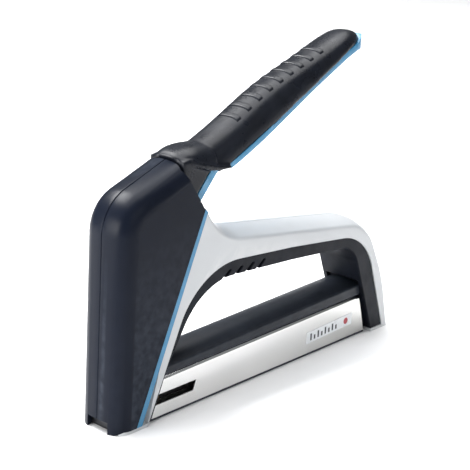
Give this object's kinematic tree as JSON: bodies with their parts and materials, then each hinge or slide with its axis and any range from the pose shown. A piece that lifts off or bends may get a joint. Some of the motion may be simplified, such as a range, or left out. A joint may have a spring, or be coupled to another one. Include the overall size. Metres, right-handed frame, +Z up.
{
  "type": "staple gun",
  "caption": "Hand staple gun with a long spring-return lever, looped hand grip and a slide-out magazine under the handle.",
  "frame": {"origin": "middle of the bounding box, on the surface that the tool stands on", "axes": "+X from the nose to the tail, +Y to the side with the screws (the user's right), +Z up"},
  "size_m": [0.196, 0.026, 0.1577],
  "materials": {
    "nose_plastic": "fine-grained dark navy moulding, satin",
    "body_plastic": "pale grey moulding, semi-gloss",
    "trim_blue": "mid blue moulding, semi-gloss",
    "liner_rubber": "soft near-black overmould",
    "bumper_rubber": "hard black rubber",
    "cover_chrome": "bright nickel plating, faint drawing lines",
    "bar_plastic": "dark satin moulding",
    "label_white": "plain printed label, no text",
    "latch_plastic": "dark moulding with finger ridges",
    "pressed_steel": "pressed and zinc-plated",
    "hard_steel": "hardened, ground",
    "spring_steel": "oiled spring wire",
    "staple_wire": "glued galvanised wire",
    "pusher_plastic": "black nylon",
    "screw_steel": "blackened steel",
    "grip_rubber": "soft satin overmould"
  },
  "bodies": {
    "housing": {"nose_cover_left": "nose_plastic", "nose_cover_right": "nose_plastic", "body_shell_left": "body_plastic", "body_shell_right": "body_plastic", "trim_strip_left": "trim_blue", "trim_strip_right": "trim_blue", "hand_grip_liner": "liner_rubber", "magazine_cover": "cover_chrome", "magazine_runners": "bar_plastic", "magazine_top_bar": "bar_plastic", "magazine_label": "label_white", "staple_channel": "pressed_steel", "staple_strip": "staple_wire", "nose_plate": "pressed_steel", "bumper": "bumper_rubber", "spring_cap": "pressed_steel", "lever_pivot_pin": "hard_steel", "lever_return_spring": "spring_steel", "shell_screws": "screw_steel", "mainspring": "spring_steel"},
    "lever": {"lever_arm": "pressed_steel", "lever_grip": "grip_rubber", "lever_trim": "trim_blue", "roller_pins": "hard_steel"},
    "rollers": {"lift_rollers": "hard_steel"},
    "plunger": {"plunger": "pressed_steel", "driver_blade": "hard_steel", "driver_rivet": "hard_steel"},
    "drawer": {"magazine_rail": "pressed_steel", "pusher_rod": "hard_steel", "magazine_latch": "latch_plastic", "pusher_spring": "spring_steel"},
    "pusher": {"staple_pusher": "pusher_plastic"}
  },
  "joints": [
    {"name": "lever_pivot", "type": "hinge", "parent": "housing", "child": "lever", "pos_m": [-0.06252, 0, 0.088], "axis": [0, 1, 0], "range_deg": [0, 36], "stiffness_Nm_per_rad": 1.2, "springref_deg": -20.05},
    {"name": "roller_spin", "type": "hinge", "parent": "lever", "child": "rollers", "pos_m": [-0.08053, 0, 0.07718], "axis": [0, 1, 0], "continuous": true},
    {"name": "plunger_slide", "type": "slide", "parent": "housing", "child": "plunger", "axis": [0, 0, 1], "range_m": [0, 0.0127], "deforming": ["mainspring"]},
    {"name": "drawer_slide", "type": "slide", "parent": "housing", "child": "drawer", "axis": [1, 0, 0], "range_m": [0, 0.105]},
    {"name": "pusher_slide", "type": "slide", "parent": "drawer", "child": "pusher", "axis": [1, 0, 0], "range_m": [0, 0.088], "stiffness_N_per_m": 30, "springref_m": -0.05, "deforming": ["pusher_spring"]}
  ],
  "couplings": [
    {"joint": "plunger_slide", "follows": "lever_pivot", "m_per_rad": 0.0201}
  ]
}
